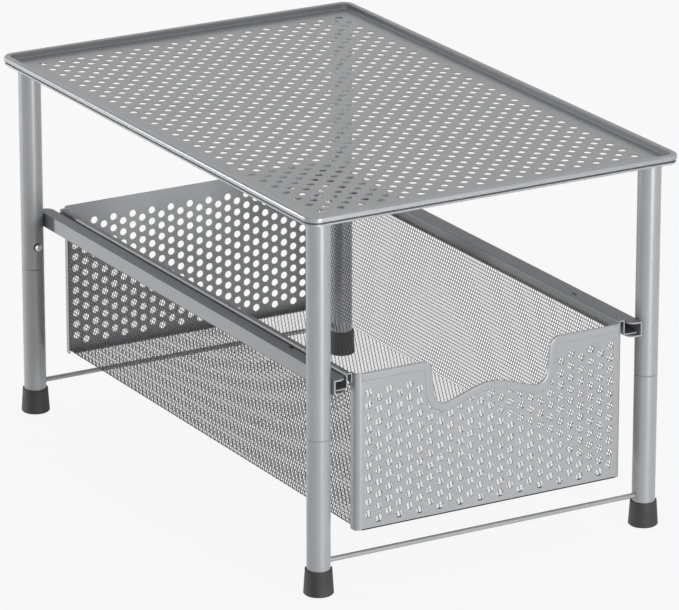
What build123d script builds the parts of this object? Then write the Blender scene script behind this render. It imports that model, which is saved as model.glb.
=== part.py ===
import os
from math import sqrt

from build123d import *

os.makedirs("parts", exist_ok=True)

# Millimetres, +Z up. The origin is on the floor under the middle of the tray.
# The drawer opens towards -Y.

# Driving sizes of the stand
tray_width = 284.6
tray_depth = 442.0
total_height = 265.0
leg_inset_side = 15.1
leg_inset_end = 16.1
leg_radius = 8.0
leg_wall = 1.0
joint_height = 108.8

# Tray sheet, its rolled rim and the frame under it
tray_sheet = 0.6
tray_corner_radius = 9.0
rim_width = 4.6
rim_rise = 4.4
rim_skirt = 3.6
rim_edge_radius = 0.5
rim_shoulder_radius = 1.6
hole_sides = 6
tray_hole_pitch = 15.1
tray_hole_radius = 4.4
tray_hole_margin = 11.0
frame_plate = 1.3
frame_setback = 0.6
frame_flange = 14.0
frame_gusset = 1.0

# Plugs that hold the upper legs to the frame
plug_length = 24.0
plug_wall = 1.6
plug_fit = 0.1

# Swaged neck of the lower legs and its shoulder
neck_length = 37.0
neck_fit = 0.1
neck_wall = 0.9
neck_lead = 0.4
leg_shoulder = 0.5
joint_gap = 0.2

# Snap buttons and the leaf springs behind them
button_rise = 16.8
button_radius = 2.5
button_fit = 0.08
button_proud = 2.4
button_dome = 1.2
button_base_radius = 3.4
button_base = 0.8
button_seat = 0.12
spring_sheet = 0.5
spring_width = 6.0
spring_length = 22.0
spring_gap = 0.1

# Rubber feet
foot_height = 17.6
foot_floor = 4.0
foot_top_radius = 9.1
foot_base_radius = 10.2
foot_edge = 0.8
foot_fit = 0.05
foot_hollow_radius = 5.5
foot_hollow = 1.4

# Cross rods between the lower legs
rod_radius = 1.75
rod_height = 22.0
rod_fit = 0.1
rod_reach = 3.0

# Channel rails and their stops
rail_bottom = 138.4
rail_height = 10.2
rail_depth = 9.7
rail_sheet = 1.0
rail_setback = 1.3
rail_corner_radius = 6.0
rail_leg_gap = 0.1
rail_stop_place = 71.9
rail_stop_length = 6.0
rail_notch_depth = 2.2
rail_stop_drop = 2.6
rail_end_stop = 1.0
rail_end_stop_reach = 6.0

# Drawer panels
drawer_half_width = 103.3
drawer_setback = 8.3
drawer_depth = 417.2
drawer_bottom = 41.1
drawer_height = 109.4
panel_sheet = 0.8
panel_corner_radius = 4.5
panel_return = 7.5
panel_lip = 3.4
panel_foot = 9.0

# Holes of the drawer panels
panel_hole_radius = 2.7
panel_column_pitch = 7.8
panel_row_pitch = 8.46
panel_columns = 25
panel_rows = 11
panel_top_margin = 14.2

# Hand cut-out of the front panel and the plain band round it
cutout_half_width = 54.5
cutout_depth = 31.0
cutout_band = 6.0
cutout_band_proud = 0.5
cutout_corner_radius = 7.0
cutout_trough_radius = 9.0
cutout_hump_radius = 40.0
cutout_shares = [(1.0, 0.0), (0.848, 0.0), (0.787, -1.113), (0.0, -0.652)]

# Mesh trough of the drawer with its pressed ribs
mesh_sheet = 0.8
mesh_bend_radius = 4.0
mesh_top_drop = 5.7
mesh_bar = 11.0
mesh_floor_windows = 6
mesh_side_windows = 3
rib_count = 3
rib_pitch = 119.3
rib_length = 137.0
rib_width = 9.0
rib_rise = 1.4
rib_taper = 30.0

# Runner strips along the top of the mesh
runner_sheet = 0.8
runner_band = 7.0
runner_top_width = 4.4
runner_inset = 0.5
runner_bend_radius = 1.2
runner_lift = 0.3
runner_side_gap = 0.8
runner_head_gap = 0.7
runner_stop_reach = 3.0
runner_stop_inset = 9.5
stop_gap = 0.3

# Cutters run past the faces that they cut by this much
overrun = 1.0

# Places that follow from the sizes above
leg_x = tray_width / 2 - leg_inset_side
leg_y = tray_depth / 2 - leg_inset_end
corners = {
    "front_left": (-1, -1),
    "front_right": (1, -1),
    "rear_left": (-1, 1),
    "rear_right": (1, 1),
}
floor_top = total_height - rim_rise
floor_bottom = floor_top - tray_sheet
skirt_bottom = total_height - rim_skirt
frame_bottom = floor_bottom - frame_plate
button_height = joint_height + button_rise
neck_radius = leg_radius - leg_wall - neck_fit
neck_bore = neck_radius - neck_wall
neck_top = joint_height + neck_length
drawer_front = -tray_depth / 2 + drawer_setback
drawer_rear = drawer_front + drawer_depth
drawer_top = drawer_bottom + drawer_height
rail_outer = leg_x - leg_radius - rail_leg_gap
rail_inner = rail_outer - rail_sheet
rail_edge = rail_outer - rail_depth
rail_top = rail_bottom + rail_height
rail_floor = rail_bottom + rail_sheet
rail_ceiling = rail_top - rail_sheet
rail_half_length = leg_y + leg_radius - rail_setback


def tray_plan(inset, mode=Mode.ADD):
    """Rounded outline of the tray, this far inside its outer edge."""
    corner = max(tray_corner_radius - inset, rim_shoulder_radius)
    RectangleRounded(tray_width - 2 * inset, tray_depth - 2 * inset, corner, mode=mode)


def staggered(columns, rows, column_pitch, row_pitch):
    """Places of every second crossing of a grid, as on a draughts board."""
    for column in range(columns):
        for row in range(rows):
            if (column + row) % 2 == 0:
                across = (column - (columns - 1) / 2) * column_pitch
                yield across, (row - (rows - 1) / 2) * row_pitch


# Tray: a perforated sheet whose edge rises, rolls outwards and comes down again as a skirt
tray_columns = 2 * int((tray_width / 2 - rim_width - tray_hole_margin) / tray_hole_pitch) + 1
tray_rows = 2 * int((tray_depth / 2 - rim_width - tray_hole_margin) / tray_hole_pitch) + 1

with BuildPart() as tray_top:
    with BuildSketch(Plane.XY.offset(floor_bottom)):
        tray_plan(0)
    extrude(amount=total_height - floor_bottom)
    fillet(tray_top.faces().sort_by(Axis.Z)[-1].outer_wire().edges(), rim_shoulder_radius)
    with BuildSketch(Plane.XY.offset(floor_bottom)):
        tray_plan(rim_width)
    extrude(amount=total_height - floor_bottom, mode=Mode.SUBTRACT)
    fillet(tray_top.faces().sort_by(Axis.Z)[-1].inner_wires().edges(), rim_edge_radius)
    with BuildSketch(Plane.XY.offset(floor_bottom)):
        tray_plan(tray_sheet)
        tray_plan(rim_width - tray_sheet, mode=Mode.SUBTRACT)
    extrude(amount=total_height - tray_sheet - floor_bottom, mode=Mode.SUBTRACT)
    with BuildSketch(Plane.XY.offset(floor_bottom)):
        tray_plan(0)
        tray_plan(tray_sheet, mode=Mode.SUBTRACT)
    extrude(amount=skirt_bottom - floor_bottom, mode=Mode.SUBTRACT)
    with BuildSketch(Plane.XY.offset(floor_bottom)):
        tray_plan(rim_width)
        with Locations(*staggered(tray_columns, tray_rows, tray_hole_pitch, tray_hole_pitch)):
            RegularPolygon(tray_hole_radius, hole_sides, mode=Mode.SUBTRACT)
    extrude(amount=tray_sheet)
tray_top.part.label = "tray_top"
export_step(tray_top.part, "parts/tray_top.step")


# Frame under the tray: a flat ring against the tray floor, with a gusset over each leg
with BuildPart() as tray_frame:
    with BuildSketch(Plane.XY.offset(frame_bottom)):
        tray_plan(frame_setback)
        tray_plan(frame_flange, mode=Mode.SUBTRACT)
        with Locations(*[(side_x * leg_x, side_y * leg_y) for side_x, side_y in corners.values()]):
            Circle(leg_radius + frame_gusset)
    extrude(amount=frame_plate)
tray_frame.part.label = "tray_frame"
export_step(tray_frame.part, "parts/tray_frame.step")


def upright(side_x, side_y, height=0.0):
    """Plane through a leg's axis, its X outwards across the leg and its Y upwards."""
    origin = (side_x * leg_x, side_y * leg_y, height)
    return Plane(origin, x_dir=(side_x, 0, 0), z_dir=(0, -side_x, 0))


def button_face(side_x, side_y):
    """Plane across a snap button's axis, which points to the middle of the stand."""
    origin = (side_x * leg_x, side_y * leg_y, button_height)
    return Plane(origin, x_dir=(1, 0, 0), z_dir=(0, -side_y, 0))


for corner, (side_x, side_y) in corners.items():
    axis = Axis((side_x * leg_x, side_y * leg_y, 0), (0, 0, 1))
    button_axis = Axis((side_x * leg_x, side_y * leg_y, button_height), (0, -side_y, 0))

    # Plug under the tray frame, inside the top of the upper leg
    plug_radius = leg_radius - leg_wall - plug_fit
    with BuildPart() as leg_plug:
        with BuildSketch(Plane.XY.offset(frame_bottom)):
            with Locations((side_x * leg_x, side_y * leg_y)):
                Circle(plug_radius)
                Circle(plug_radius - plug_wall, mode=Mode.SUBTRACT)
        extrude(amount=-plug_length)
    leg_plug.part.label = f"leg_plug_{corner}"
    export_step(leg_plug.part, f"parts/leg_plug_{corner}.step")

    # Upper leg: a plain tube with the hole that the snap button springs into
    with BuildPart() as upper_leg:
        with BuildSketch(Plane.XY.offset(joint_height + joint_gap)):
            with Locations((side_x * leg_x, side_y * leg_y)):
                Circle(leg_radius)
                Circle(leg_radius - leg_wall, mode=Mode.SUBTRACT)
        extrude(amount=frame_bottom - joint_height - joint_gap)
        with BuildSketch(button_face(side_x, side_y)):
            Circle(button_radius + button_fit)
        extrude(amount=leg_radius + overrun, mode=Mode.SUBTRACT)
    upper_leg.part.label = f"upper_leg_{corner}"
    export_step(upper_leg.part, f"parts/upper_leg_{corner}.step")

    # Lower leg: the same tube, swaged to a neck that slides into the upper leg
    with BuildPart() as lower_leg:
        with BuildSketch(upright(side_x, side_y)):
            with BuildLine():
                Polyline(
                    (leg_radius - leg_wall, foot_floor),
                    (leg_radius, foot_floor),
                    (leg_radius, joint_height - leg_shoulder),
                    (leg_radius - leg_shoulder, joint_height),
                    (neck_radius, joint_height),
                    (neck_radius, neck_top - neck_lead),
                    (neck_radius - neck_lead, neck_top),
                    (neck_bore, neck_top),
                    (neck_bore, joint_height - leg_wall),
                    (leg_radius - leg_wall, joint_height - 2 * leg_wall),
                    close=True,
                )
            make_face()
        revolve(axis=axis)
        with BuildSketch(button_face(side_x, side_y)):
            Circle(button_radius + button_fit)
        extrude(amount=leg_radius + overrun, mode=Mode.SUBTRACT)
        with BuildSketch(Plane.YZ.offset(side_x * (leg_x - leg_radius - overrun))):
            with Locations((side_y * leg_y, rod_height)):
                Circle(rod_radius + rod_fit)
        extrude(amount=side_x * leg_radius, mode=Mode.SUBTRACT)
    lower_leg.part.label = f"lower_leg_{corner}"
    export_step(lower_leg.part, f"parts/lower_leg_{corner}.step")

    # Snap button: a domed pin on a wide base that stays behind the wall of the neck
    base_front = sqrt(neck_bore**2 - button_base_radius**2) - button_seat
    with BuildPart() as snap_button:
        with BuildSketch(button_face(side_x, side_y).offset(base_front - button_base)):
            Circle(button_base_radius)
        extrude(amount=button_base)
        with BuildSketch(button_face(side_x, side_y).offset(base_front)):
            Circle(button_radius)
        extrude(amount=leg_radius + button_proud - base_front)
        tip = snap_button.faces().sort_by(button_axis)[-1]
        fillet(tip.edges(), button_dome)
    snap_button.part.label = f"snap_button_{corner}"
    export_step(snap_button.part, f"parts/snap_button_{corner}.step")

    # Leaf spring: a strip bent to a U that presses the button out through the holes
    leaf_front = base_front - button_base - spring_gap
    leaf_rear = spring_gap - sqrt(neck_bore**2 - (spring_width / 2) ** 2)
    leaf_middle = (leaf_front + leaf_rear) / 2
    bend_radius = (leaf_front - leaf_rear) / 2
    spring_plane = Plane(button_axis.position, x_dir=(0, -side_y, 0), z_dir=(-side_y, 0, 0))
    with BuildPart() as leaf_spring:
        with BuildSketch(spring_plane):
            with BuildLine():
                Line((leaf_front, button_base_radius), (leaf_front, -spring_length))
                ThreePointArc(
                    (leaf_front, -spring_length),
                    (leaf_middle, -spring_length - bend_radius),
                    (leaf_rear, -spring_length),
                )
                Line((leaf_rear, -spring_length), (leaf_rear, button_base_radius))
                offset(amount=spring_sheet, side=Side.RIGHT)
            make_face()
        extrude(amount=spring_width / 2, both=True)
    leaf_spring.part.label = f"leaf_spring_{corner}"
    export_step(leaf_spring.part, f"parts/leaf_spring_{corner}.step")

    # Rubber foot: a tapered cup with a shallow hollow in its sole
    with BuildPart() as foot:
        with BuildSketch(upright(side_x, side_y)):
            with BuildLine():
                Polyline(
                    (foot_hollow_radius, 0),
                    (foot_base_radius - foot_edge, 0),
                    (foot_base_radius, foot_edge),
                    (foot_top_radius, foot_height),
                    (leg_radius + foot_fit, foot_height),
                    (leg_radius + foot_fit, foot_floor),
                    (0, foot_floor),
                    (0, foot_hollow),
                    (foot_hollow_radius, foot_hollow),
                    close=True,
                )
            make_face()
        revolve(axis=axis)
    foot.part.label = f"foot_{corner}"
    export_step(foot.part, f"parts/foot_{corner}.step")


# Cross rods, one between the front lower legs and one between the rear ones
rod_half_length = leg_x - leg_radius + rod_reach
for end, side_y in {"front": -1, "rear": 1}.items():
    with BuildPart() as rod:
        with BuildSketch(Plane.YZ.offset(-rod_half_length)):
            with Locations((side_y * leg_y, rod_height)):
                Circle(rod_radius)
        extrude(amount=2 * rod_half_length)
    rod.part.label = f"{end}_rod"
    export_step(rod.part, f"parts/{end}_rod.step")


# Rails: channels that open inwards, each a web with a roof and a floor, and the stops in them
runner_front = drawer_front + panel_corner_radius + runner_inset
runner_rear = drawer_rear - panel_corner_radius - runner_inset
rail_stop_y = rail_stop_place - rail_half_length
rail_end_y = runner_rear + stop_gap + rail_end_stop / 2
sides = {"left": -1, "right": 1}

for side, side_x in sides.items():
    with BuildPart() as rail_web:
        with BuildSketch(Plane.XY.offset(rail_bottom)):
            with Locations((side_x * (rail_inner + rail_sheet / 2), 0)):
                Rectangle(rail_sheet, 2 * rail_half_length)
        extrude(amount=rail_height)
    rail_web.part.label = f"rail_web_{side}"
    export_step(rail_web.part, f"parts/rail_web_{side}.step")

    for name, height in {"roof": rail_ceiling, "floor": rail_bottom}.items():
        with BuildPart() as rail_flange:
            with BuildSketch(Plane.XY.offset(height)) as flange_plan:
                with Locations((side_x * (rail_edge + rail_inner) / 2, 0)):
                    Rectangle(rail_inner - rail_edge, 2 * rail_half_length)
                free_corners = flange_plan.vertices().group_by(Axis.X)[0 if side_x > 0 else -1]
                fillet(free_corners, rail_corner_radius)
                if name == "roof":
                    with Locations((side_x * (rail_edge + rail_notch_depth / 2), rail_stop_y)):
                        Rectangle(rail_notch_depth, rail_stop_length, mode=Mode.SUBTRACT)
            extrude(amount=rail_sheet)
        rail_flange.part.label = f"rail_{name}_{side}"
        export_step(rail_flange.part, f"parts/rail_{name}_{side}.step")

    # Tongue bent down beside the roof's notch, which the runner's tab meets when the drawer is out
    with BuildPart() as rail_stop:
        with BuildSketch(Plane.XY.offset(rail_ceiling)):
            with Locations((side_x * (rail_edge + rail_notch_depth + rail_sheet / 2), rail_stop_y)):
                Rectangle(rail_sheet, rail_stop_length)
        extrude(amount=-rail_stop_drop)
    rail_stop.part.label = f"rail_stop_{side}"
    export_step(rail_stop.part, f"parts/rail_stop_{side}.step")

    # Plate across the channel that the closed drawer's runner rests against
    with BuildPart() as rail_end:
        with BuildSketch(Plane.XY.offset(rail_floor)):
            with Locations((side_x * (rail_inner - rail_end_stop_reach / 2), rail_end_y)):
                Rectangle(rail_end_stop_reach, rail_end_stop)
        extrude(amount=rail_ceiling - rail_floor)
    rail_end.part.label = f"rail_end_{side}"
    export_step(rail_end.part, f"parts/rail_end_{side}.step")


# Hand cut-out: a wave-shaped outline, open at the panel's top edge, and the plain band round it
half_wave = [(x * cutout_half_width, drawer_top + z * cutout_depth) for x, z in cutout_shares]
wave = half_wave + [(-x, z) for x, z in reversed(half_wave[:-1])]
half_radii = [cutout_corner_radius, cutout_trough_radius]
cutout_above = drawer_top + overrun
wave_radii = half_radii + [cutout_hump_radius] + half_radii[::-1]
with BuildSketch(Plane.XZ.offset(-drawer_front)) as cutout:
    with BuildLine():
        FilletPolyline(*wave, radius=wave_radii)
        Polyline(wave[-1], (-cutout_half_width, cutout_above), (cutout_half_width, cutout_above), wave[0])
    make_face()
with BuildSketch(Plane.XZ.offset(-drawer_front - panel_sheet)) as cutout_edge:
    add(cutout.sketch_local)
    offset(amount=cutout_band)
    add(cutout.sketch_local, mode=Mode.SUBTRACT)
    with Locations((0, drawer_top + cutout_depth)):
        Rectangle(2 * drawer_half_width, 2 * cutout_depth, mode=Mode.SUBTRACT)


# Drawer panels: a sheet with rounded corners, side returns, a top lip, a foot and staggered holes
flat_half_width = drawer_half_width - panel_corner_radius
hole_middle = drawer_top - panel_top_margin - (panel_rows - 1) / 2 * panel_row_pitch
panel_holes = list(staggered(panel_columns, panel_rows, panel_column_pitch, panel_row_pitch))

for end, face_y, inwards in (("front", drawer_front, 1), ("rear", drawer_rear, -1)):
    with BuildPart() as panel:
        # Rounded corners with their side returns
        with BuildSketch(Plane.XY.offset(drawer_bottom)):
            with BuildLine():
                FilletPolyline(
                    (-drawer_half_width, face_y + inwards * panel_return),
                    (-drawer_half_width, face_y),
                    (drawer_half_width, face_y),
                    (drawer_half_width, face_y + inwards * panel_return),
                    radius=panel_corner_radius,
                )
                offset(amount=panel_sheet, side=Side.LEFT if inwards > 0 else Side.RIGHT)
            make_face()
            with Locations((0, face_y)):
                Rectangle(2 * flat_half_width, 2 * panel_return, mode=Mode.SUBTRACT)
        extrude(amount=drawer_height)

        # Foot under the mesh, and the lip along the top edge
        with BuildSketch(Plane.XY.offset(drawer_bottom)):
            with Locations((0, face_y + inwards * panel_foot / 2)):
                Rectangle(2 * flat_half_width, panel_foot)
        extrude(amount=panel_sheet)
        with BuildSketch(Plane.XY.offset(drawer_top)):
            with Locations((0, face_y + inwards * panel_lip / 2)):
                Rectangle(2 * flat_half_width, panel_lip)
                if end == "front":
                    Rectangle(2 * (cutout_half_width + cutout_band), panel_lip, mode=Mode.SUBTRACT)
        extrude(amount=-panel_sheet)

        # Raised band round the cut-out of the front panel, then the perforated face itself
        if end == "front":
            extrude(cutout_edge.sketch, amount=panel_sheet + cutout_band_proud)
        with BuildSketch(Plane.XZ.offset(-face_y)):
            with Locations((0, drawer_bottom + drawer_height / 2)):
                Rectangle(2 * flat_half_width, drawer_height)
            with Locations((0, hole_middle)):
                with Locations(*panel_holes):
                    RegularPolygon(panel_hole_radius, hole_sides, mode=Mode.SUBTRACT)
            if end == "front":
                add(cutout_edge.sketch_local, mode=Mode.SUBTRACT)
                add(cutout.sketch_local, mode=Mode.SUBTRACT)
        extrude(amount=-inwards * panel_sheet, clean=False)
    panel.part.label = f"{end}_panel"
    export_step(panel.part, f"parts/{end}_panel.step")


# Mesh trough: one sheet bent up at both sides, with ribs pressed across its floor
mesh_half_width = drawer_half_width - panel_sheet
mesh_bottom = drawer_bottom + panel_sheet
mesh_front = drawer_front + panel_corner_radius + runner_inset / 2
mesh_rear = drawer_rear - panel_corner_radius - runner_inset / 2
mesh_top = drawer_top - mesh_top_drop
mesh_middle = (mesh_front + mesh_rear) / 2
mesh_flat_half = mesh_half_width - mesh_bend_radius
mesh_side_bottom = mesh_bottom + mesh_bend_radius + mesh_sheet
floor_pitch = 2 * mesh_flat_half / mesh_floor_windows
side_pitch = (mesh_top - mesh_side_bottom) / mesh_side_windows

# Three windows to a rib, in an even number of rows, keep a bar under each rib
window_pitch = rib_pitch / 3
window_rows = 2 * int((mesh_rear - mesh_front - mesh_bar) / window_pitch / 2)

with BuildPart() as drawer_mesh:
    # Bends along both lower edges
    with BuildSketch(Plane.XZ.offset(-mesh_front)):
        with BuildLine():
            FilletPolyline(
                (-mesh_half_width, mesh_side_bottom),
                (-mesh_half_width, mesh_bottom),
                (mesh_half_width, mesh_bottom),
                (mesh_half_width, mesh_side_bottom),
                radius=mesh_bend_radius,
            )
            offset(amount=mesh_sheet, side=Side.LEFT)
        make_face()
        with Locations((0, mesh_bottom)):
            Rectangle(2 * mesh_flat_half, 2 * mesh_bend_radius, mode=Mode.SUBTRACT)
    extrude(amount=mesh_front - mesh_rear)

    # Floor and sides, open between the bars that stand for bundles of fine wires
    with BuildSketch(Plane.XY.offset(mesh_bottom)):
        with Locations((0, mesh_middle)):
            Rectangle(2 * mesh_flat_half, mesh_rear - mesh_front)
            with GridLocations(floor_pitch, window_pitch, mesh_floor_windows, window_rows):
                Rectangle(floor_pitch - mesh_bar, window_pitch - mesh_bar, mode=Mode.SUBTRACT)
    extrude(amount=mesh_sheet)
    for side_x in (-1, 1):
        with BuildSketch(Plane.YZ.offset(side_x * mesh_half_width)):
            with Locations((mesh_middle, (mesh_side_bottom + mesh_top) / 2)):
                Rectangle(mesh_rear - mesh_front, mesh_top - mesh_side_bottom)
                with GridLocations(window_pitch, side_pitch, window_rows, mesh_side_windows):
                    Rectangle(window_pitch - mesh_bar, side_pitch - mesh_bar, mode=Mode.SUBTRACT)
        extrude(amount=-side_x * mesh_sheet)

    # Ribs pressed upwards in the floor
    with BuildSketch(Plane.XY.offset(mesh_bottom + mesh_sheet)):
        with Locations((0, mesh_middle)):
            with GridLocations(0, rib_pitch, 1, rib_count):
                SlotOverall(rib_length, rib_width)
    extrude(amount=rib_rise, taper=rib_taper)
    with BuildSketch(Plane.XY.offset(mesh_bottom)):
        with Locations((0, mesh_middle)):
            with GridLocations(0, rib_pitch, 1, rib_count):
                SlotOverall(rib_length - 2 * mesh_sheet, rib_width - 2 * mesh_sheet)
    extrude(amount=rib_rise, taper=rib_taper, mode=Mode.SUBTRACT)
drawer_mesh.part.label = "drawer_mesh"
export_step(drawer_mesh.part, "parts/drawer_mesh.step")


# Runners: a strip folded over the mesh edge, and under it the flange that slides in the rail
runner_outer = drawer_half_width + runner_top_width
flange_bottom = rail_floor + runner_lift
flange_top = flange_bottom + runner_sheet
flange_end = rail_inner - runner_side_gap
fold_top = flange_top + 2 * runner_bend_radius
runner_stop_top = rail_ceiling - runner_head_gap
runner_stop_end = rail_edge + runner_inset + runner_stop_reach

for side, side_x in sides.items():
    with BuildPart() as runner_hook:
        with BuildSketch(Plane.XZ.offset(-runner_front)):
            with BuildLine():
                FilletPolyline(
                    (side_x * drawer_half_width, drawer_top - runner_band),
                    (side_x * drawer_half_width, drawer_top),
                    (side_x * runner_outer, drawer_top),
                    (side_x * runner_outer, fold_top),
                    radius=runner_bend_radius,
                )
                offset(amount=runner_sheet, side=Side.RIGHT if side_x > 0 else Side.LEFT)
            make_face()
        extrude(amount=runner_front - runner_rear)

        # Tab bent outwards near the rear end, which meets the rail's tongue
        with BuildSketch(Plane.XZ.offset(runner_stop_inset - runner_rear)):
            tab_middle = (runner_outer + runner_stop_end) / 2
            with Locations((side_x * tab_middle, (fold_top + runner_stop_top) / 2)):
                Rectangle(runner_stop_end - runner_outer, runner_stop_top - fold_top)
        extrude(amount=-runner_sheet)
    runner_hook.part.label = f"runner_hook_{side}"
    export_step(runner_hook.part, f"parts/runner_hook_{side}.step")

    with BuildPart() as runner_flange:
        with BuildSketch(Plane.XZ.offset(-runner_front)):
            with BuildLine():
                FilletPolyline(
                    (side_x * runner_outer, fold_top),
                    (side_x * runner_outer, flange_top),
                    (side_x * flange_end, flange_top),
                    radius=runner_bend_radius,
                )
                offset(amount=runner_sheet, side=Side.RIGHT if side_x > 0 else Side.LEFT)
            make_face()
        extrude(amount=runner_front - runner_rear)
    runner_flange.part.label = f"runner_flange_{side}"
    export_step(runner_flange.part, f"parts/runner_flange_{side}.step")
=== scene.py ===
import math

import bmesh
import bpy
from mathutils import Matrix, Vector


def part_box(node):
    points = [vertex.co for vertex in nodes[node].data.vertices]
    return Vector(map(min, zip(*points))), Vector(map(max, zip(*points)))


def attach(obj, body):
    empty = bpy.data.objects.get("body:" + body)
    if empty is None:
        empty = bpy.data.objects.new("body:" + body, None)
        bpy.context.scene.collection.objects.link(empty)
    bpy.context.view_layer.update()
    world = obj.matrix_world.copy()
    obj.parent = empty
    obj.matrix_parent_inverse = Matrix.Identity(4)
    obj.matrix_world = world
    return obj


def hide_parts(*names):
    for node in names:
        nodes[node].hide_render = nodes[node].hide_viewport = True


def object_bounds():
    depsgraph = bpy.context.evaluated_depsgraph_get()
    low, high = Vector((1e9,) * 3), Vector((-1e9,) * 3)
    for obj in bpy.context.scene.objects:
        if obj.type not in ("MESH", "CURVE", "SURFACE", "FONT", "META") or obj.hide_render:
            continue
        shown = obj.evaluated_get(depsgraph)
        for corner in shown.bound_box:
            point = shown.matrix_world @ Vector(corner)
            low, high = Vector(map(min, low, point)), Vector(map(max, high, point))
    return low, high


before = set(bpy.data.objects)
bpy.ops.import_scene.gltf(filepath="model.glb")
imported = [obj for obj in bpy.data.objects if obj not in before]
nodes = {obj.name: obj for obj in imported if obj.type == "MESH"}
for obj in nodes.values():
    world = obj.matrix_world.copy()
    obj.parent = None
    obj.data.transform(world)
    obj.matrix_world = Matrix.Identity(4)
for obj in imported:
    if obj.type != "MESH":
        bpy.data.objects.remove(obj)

# %% [markdown]
# # A two-tier organizer for the cupboard under a sink
#
# The object is a stand of round steel tubes with a perforated tray on top, and a drawer of wire
# netting that slides out under it. Everything is steel with a satin silver powder coat, apart from
# the rubber feet and the four plated snap buttons in the legs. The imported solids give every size,
# so this lesson asks them where things are and adds what shows from close by: the perforations,
# the netting, the rolled and pressed edges, and the finishes.

# %% Units, the solids' box and the scene
mm = 0.001
scene = bpy.context.scene
solid_box = [list(corner_point) for corner_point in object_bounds()]
size = [high - low for low, high in zip(*solid_box)]
print("the solids measure", [round(length / mm, 1) for length in size], "mm")

# %% [markdown]
# ## Working with node trees
#
# Finishes and repeated shapes are both made of nodes. Making a node, setting its options and
# plugging in its sockets takes several lines by hand, so one small helper does it: a value that is
# itself a socket gets linked, and anything else is typed into the socket.


# %% A helper that adds a node and plugs it in
def node(tree, kind, sockets=None, **options):
    """Adds a node, sets its options, and fills its inputs with values or with links."""
    made = tree.nodes.new(kind)
    for option, value in options.items():
        setattr(made, option, value)
    for socket, value in (sockets or {}).items():
        if isinstance(value, bpy.types.NodeSocket):
            tree.links.new(value, made.inputs[socket])
        else:
            made.inputs[socket].default_value = value
    return made


def sum_of(tree, operation, first, second=0.0, third=0.0):
    """One step of arithmetic on single numbers, as the socket that holds the result."""
    return node(tree, "ShaderNodeMath", {0: first, 1: second, 2: third}, operation=operation).outputs[0]


print("helpers ready:", node.__name__, sum_of.__name__)

# %% [markdown]
# ## The powder coat
#
# Silver powder coat is aluminium flake in a clear binder, baked on as dust. From a step away it is
# an even satin grey, and from close by it has the faint skin of an orange, a few millimetres from
# crest to crest, with finer grain in it where the flakes lie at different angles. A noise texture
# of each size gives these: the coarse one moves the surface and the gloss a little, the fine one
# changes the tone. The surface is part metal and part paint, so Metallic is low, and the binder's
# smooth top adds a narrow shine of its own, the coat, which helps the fine line down each leg. The
# thin wires have a rougher skin, and their tone is painted far darker than the silver, as painted
# shade for the netting in the tray's shadow. The strips of the rails and runners have a duller skin.


# %% Powder coat material
peel_scale, flake_scale, cloud_scale = 420.0, 2600.0, 16.0
speckle_share, cloud_share, tone_spread = 0.75, 0.35, 0.10
peel_strength, peel_depth, clear_roughness = 0.12, 0.3 * mm, 0.06


def powder_coat(name, tone, gloss_low, gloss_high, grain=1.0, clear=0.2, metal=0.3):
    """A satin metallic powder coat with orange peel, flake grain and slightly uneven gloss."""
    coat = bpy.data.materials.new(name)
    coat.use_nodes = True
    tree = coat.node_tree
    shader = tree.nodes["Principled BSDF"]
    place = node(tree, "ShaderNodeTexCoord").outputs["Object"]
    peel = node(tree, "ShaderNodeTexNoise", {"Vector": place, "Scale": peel_scale, "Detail": 2.0})
    flake = node(tree, "ShaderNodeTexNoise", {"Vector": place, "Scale": flake_scale, "Detail": 3.0})
    cloud = node(tree, "ShaderNodeTexNoise", {"Vector": place, "Scale": cloud_scale, "Detail": 3.0})
    speckle = sum_of(tree, "MULTIPLY", flake.outputs["Fac"], speckle_share)
    mixed = sum_of(tree, "MULTIPLY_ADD", cloud.outputs["Fac"], cloud_share, speckle)
    ramp = node(tree, "ShaderNodeValToRGB", {"Fac": mixed})
    darkest, lightest = ramp.color_ramp.elements
    darkest.position, lightest.position = 0.30, 0.80
    darkest.color = (*[part * (1.0 - tone_spread * grain) for part in tone], 1.0)
    lightest.color = (*[min(1.0, part * (1.0 + tone_spread * grain)) for part in tone], 1.0)
    gloss = node(tree, "ShaderNodeMapRange", {
        "Value": peel.outputs["Fac"], "From Min": 0.3, "From Max": 0.7,
        "To Min": gloss_low, "To Max": gloss_high,
    })
    bump = node(tree, "ShaderNodeBump", {
        "Height": peel.outputs["Fac"], "Strength": peel_strength * grain, "Distance": peel_depth,
    })
    tree.links.new(ramp.outputs["Color"], shader.inputs["Base Color"])
    tree.links.new(gloss.outputs["Result"], shader.inputs["Roughness"])
    tree.links.new(bump.outputs["Normal"], shader.inputs["Normal"])
    shader.inputs["Metallic"].default_value = metal
    shader.inputs["Coat Weight"].default_value = clear
    shader.inputs["Coat Roughness"].default_value = clear_roughness
    shader.inputs["Specular IOR Level"].default_value = 0.3
    return coat


silver = powder_coat("silver_powder_coat", (0.33, 0.341, 0.351), 0.3, 0.38)
# Painted shade: the wire tone is far darker than the silver coat and stands in for the tray's shadow on the
# netting.
painted_shade_wire = powder_coat("silver_coated_wire", (0.1, 0.103, 0.107), 0.42, 0.55, grain=1.4, clear=0.0)
silver_strip = powder_coat("silver_coated_strip", (0.315, 0.325, 0.335), 0.44, 0.56, clear=0.0, metal=0.08)
print("coats:", silver.name, painted_shade_wire.name, silver_strip.name)

# %% [markdown]
# ## Rubber, chrome, spring steel and moulded plastic
#
# The feet are black rubber from a mould: matt, a little dusty, with a fine pebbled skin. The snap
# buttons are plated and mirror-like, with faint polishing marks round them. The leaf springs and
# plugs sit inside the legs, but a part is looked at from every side and taken apart, so they get
# their own finishes too. The same three ingredients, a tone that varies, a gloss that varies and a
# little bump, make all four, so one helper takes their amounts.


# %% Helper for the small pieces' finishes
wear_scale, grain_depth = 60.0, 0.2 * mm


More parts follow.
